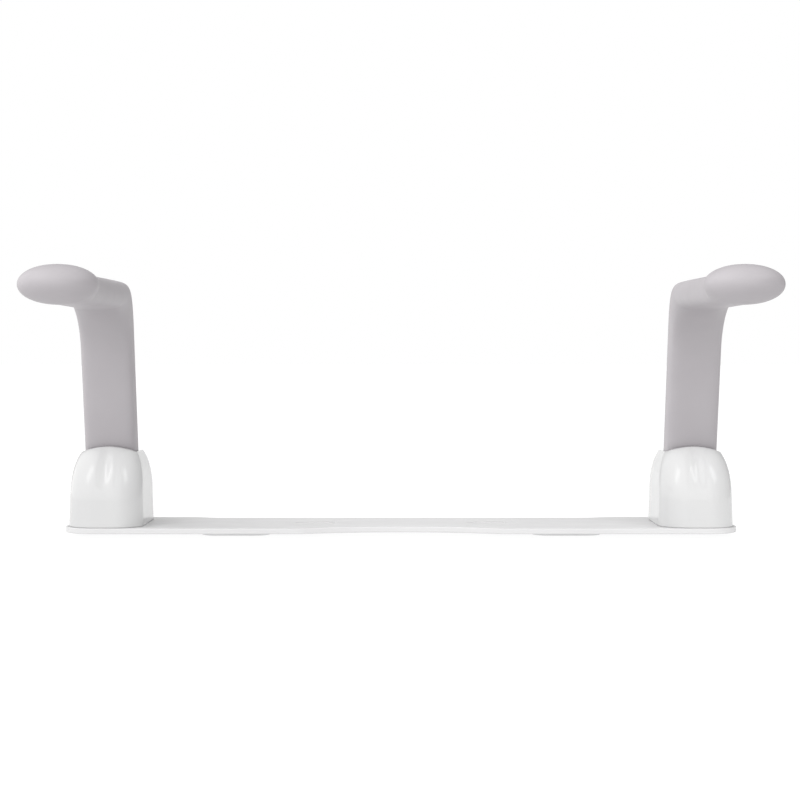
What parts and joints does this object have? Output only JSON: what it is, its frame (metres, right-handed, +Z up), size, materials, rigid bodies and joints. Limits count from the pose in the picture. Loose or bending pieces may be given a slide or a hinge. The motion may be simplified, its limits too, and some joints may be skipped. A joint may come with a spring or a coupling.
{
  "type": "toilet support arms",
  "caption": "Pair of fold-up toilet support arms: grey moulded armrests on leaning posts, hinged in white boot covers on a flat plate that the seat bolts clamp to the bowl.",
  "frame": {"origin": "middle of the two seat-bolt slots, on the underside of the base plate", "axes": "+Z up, the armrests reach towards -Y, X across; left (+X) and right (-X) are the sitting user's"},
  "size_m": [0.592, 0.354, 0.2287],
  "materials": {
    "plate_white": "satin",
    "cover_white": "gloss",
    "grip_grey": "satin",
    "pad_rubber": "matte",
    "buffer_rubber": "matte",
    "zinc_steel": "satin",
    "screw_steel": "satin",
    "pin_steel": "polished",
    "spring_steel": "satin",
    "bush_plastic": "satin",
    "plug_plastic": "matte"
  },
  "bodies": {
    "base": {"base_plate": "plate_white", "left_bowl_pad": "pad_rubber", "left_hinge_bracket": "zinc_steel", "left_bracket_bolts": "screw_steel", "left_bracket_nuts": "screw_steel", "left_front_stop": "buffer_rubber", "left_rear_buffer": "buffer_rubber", "left_pivot_pin": "pin_steel", "left_pin_ring": "spring_steel", "left_thrust_washers": "bush_plastic", "left_boot_cover": "cover_white", "left_cover_screws": "screw_steel", "right_bowl_pad": "pad_rubber", "right_hinge_bracket": "zinc_steel", "right_bracket_bolts": "screw_steel", "right_bracket_nuts": "screw_steel", "right_front_stop": "buffer_rubber", "right_rear_buffer": "buffer_rubber", "right_pivot_pin": "pin_steel", "right_pin_ring": "spring_steel", "right_thrust_washers": "bush_plastic", "right_boot_cover": "cover_white", "right_cover_screws": "screw_steel"},
    "left_arm": {"left_hinge_bushes": "bush_plastic", "left_knuckle": "zinc_steel", "left_arm_tube": "zinc_steel", "left_tube_plug": "plug_plastic", "left_armrest": "grip_grey"},
    "right_arm": {"right_hinge_bushes": "bush_plastic", "right_knuckle": "zinc_steel", "right_arm_tube": "zinc_steel", "right_tube_plug": "plug_plastic", "right_armrest": "grip_grey"}
  },
  "joints": [
    {"name": "left_arm_fold", "type": "hinge", "parent": "base", "child": "left_arm", "pos_m": [0.26, 0.0075, 0.035], "axis": [-1, 0, 0], "range_deg": [0, 90]},
    {"name": "right_arm_fold", "type": "hinge", "parent": "base", "child": "right_arm", "pos_m": [-0.26, 0.0075, 0.035], "axis": [-1, 0, 0], "range_deg": [0, 90]}
  ]
}
